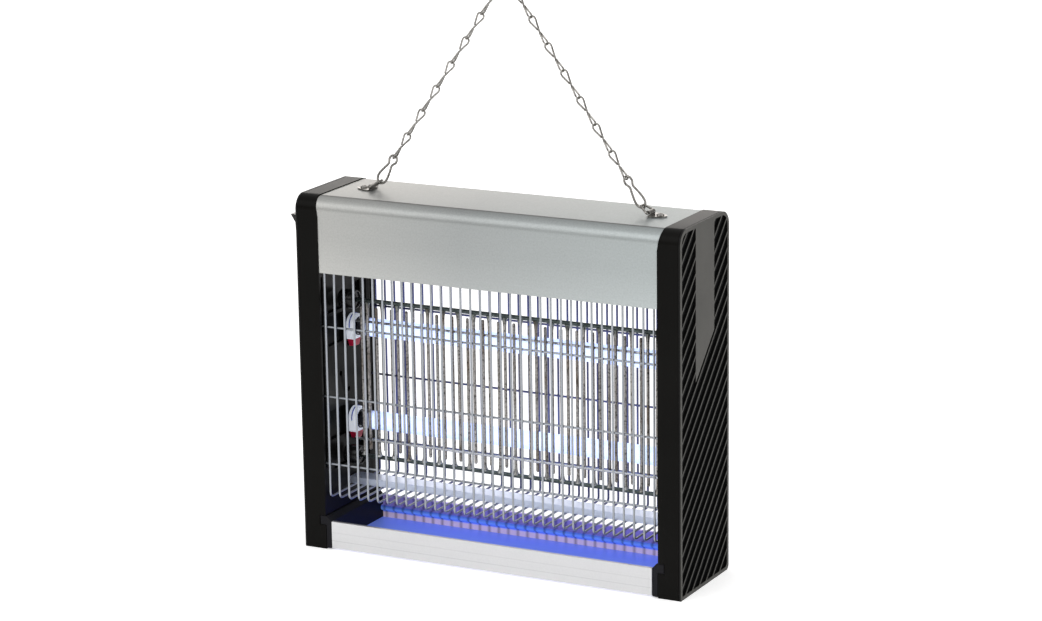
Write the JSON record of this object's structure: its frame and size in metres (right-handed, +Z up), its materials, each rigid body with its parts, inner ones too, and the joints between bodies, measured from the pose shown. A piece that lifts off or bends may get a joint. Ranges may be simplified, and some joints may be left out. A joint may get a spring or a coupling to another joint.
{
  "type": "electric bug zapper",
  "caption": "Hanging electric bug zapper: ultraviolet tubes behind electrified rods and a wire guard, between moulded end housings under a metal cover, with a pull-out insect tray.",
  "frame": {"origin": "centre of the bounding box on the plane that the end housings stand on", "axes": "+X to the appliance's right seen from the front, +Y to the rear, +Z up; the front with the tray's pull side faces -Y"},
  "size_m": [0.3528, 0.093, 0.4835],
  "materials": {
    "brushed_aluminium": "fine satin sheet",
    "mill_aluminium": "smooth extruded",
    "black_plastic": "semi-gloss moulded",
    "gloss_black": "glossy moulded",
    "zinc_steel": "zinc plated",
    "steel_rod": "spot-welded bright rod, mottled",
    "white_plastic": "glossy moulded",
    "red_plastic": "glossy moulded",
    "lamp_glass": "lit fluorescent tube",
    "circuit_green": "lacquered board",
    "copper_winding": "lacquered winding"
  },
  "bodies": {
    "housing": {"top_cover": "brushed_aluminium", "lower_crossbar": "mill_aluminium", "chassis_plate": "zinc_steel", "guard_grille": "zinc_steel", "lamp_ballast": "zinc_steel", "upper_electrode": "steel_rod", "lower_electrode": "steel_rod", "circuit_board": "circuit_green", "high_voltage_transformer": "copper_winding", "storage_capacitor": "gloss_black", "terminal_block": "white_plastic", "switch_bezel": "gloss_black", "cord_gland": "gloss_black", "left_end_housing": "black_plastic", "left_louvre_panel": "black_plastic", "left_hanger_bracket": "zinc_steel", "left_bracket_rivet": "zinc_steel", "right_end_housing": "black_plastic", "right_louvre_panel": "black_plastic", "right_hanger_bracket": "zinc_steel", "right_bracket_rivet": "zinc_steel", "upper_insulator_left": "gloss_black", "upper_lampholder_left": "white_plastic", "upper_lamp_clip_left": "red_plastic", "upper_insulator_right": "gloss_black", "upper_lampholder_right": "white_plastic", "upper_lamp_clip_right": "red_plastic", "lower_insulator_left": "gloss_black", "lower_lampholder_left": "white_plastic", "lower_lamp_clip_left": "red_plastic", "lower_insulator_right": "gloss_black", "lower_lampholder_right": "white_plastic", "lower_lamp_clip_right": "red_plastic"},
    "upper_tube": {"upper_tube_glass": "lamp_glass", "upper_tube_cap_left": "mill_aluminium", "upper_tube_cap_right": "mill_aluminium", "upper_rotor_left": "gloss_black", "upper_rotor_right": "gloss_black"},
    "lower_tube": {"lower_tube_glass": "lamp_glass", "lower_tube_cap_left": "mill_aluminium", "lower_tube_cap_right": "mill_aluminium", "lower_rotor_left": "gloss_black", "lower_rotor_right": "gloss_black"},
    "tray": {"tray_front_rail": "mill_aluminium", "tray_rear_rail": "mill_aluminium", "tray_floor": "brushed_aluminium", "tray_end_left": "black_plastic", "tray_end_right": "black_plastic"},
    "switch_rocker": {"switch_rocker": "gloss_black"},
    "left_bail": {"left_bail": "zinc_steel"},
    "left_chain": {"left_connecting_link": "zinc_steel", "left_chain": "zinc_steel", "left_end_ring": "zinc_steel"},
    "right_bail": {"right_bail": "zinc_steel"},
    "right_chain": {"right_connecting_link": "zinc_steel", "right_chain": "zinc_steel", "right_end_ring": "zinc_steel"}
  },
  "joints": [
    {"name": "upper_tube_turn", "type": "hinge", "parent": "housing", "child": "upper_tube", "pos_m": [0.00395, 0.0035, 0.1813], "axis": [1, 0, 0], "range_deg": [0, 90]},
    {"name": "lower_tube_turn", "type": "hinge", "parent": "housing", "child": "lower_tube", "pos_m": [0.00395, 0.0035, 0.1013], "axis": [1, 0, 0], "range_deg": [0, 90]},
    {"name": "tray_slide", "type": "slide", "parent": "housing", "child": "tray", "axis": [0, -1, 0], "range_m": [0, 0.085]},
    {"name": "switch_press", "type": "hinge", "parent": "housing", "child": "switch_rocker", "pos_m": [-0.16855, -0.037, 0.277], "axis": [0, 1, 0], "range_deg": [0, 36]},
    {"name": "left_bail_swing", "type": "hinge", "parent": "housing", "child": "left_bail", "pos_m": [-0.12155, 0, 0.3022], "axis": [0, -1, 0], "range_deg": [0, 75]},
    {"name": "left_chain_swing", "type": "hinge", "parent": "left_bail", "child": "left_chain", "pos_m": [-0.11455, 0, 0.30719], "axis": [0, -1, 0], "range_deg": [0, 45]},
    {"name": "right_bail_swing", "type": "hinge", "parent": "housing", "child": "right_bail", "pos_m": [0.12945, 0, 0.3022], "axis": [0, 1, 0], "range_deg": [0, 75]},
    {"name": "right_chain_swing", "type": "hinge", "parent": "right_bail", "child": "right_chain", "pos_m": [0.12245, 0, 0.30719], "axis": [0, 1, 0], "range_deg": [0, 45]}
  ]
}
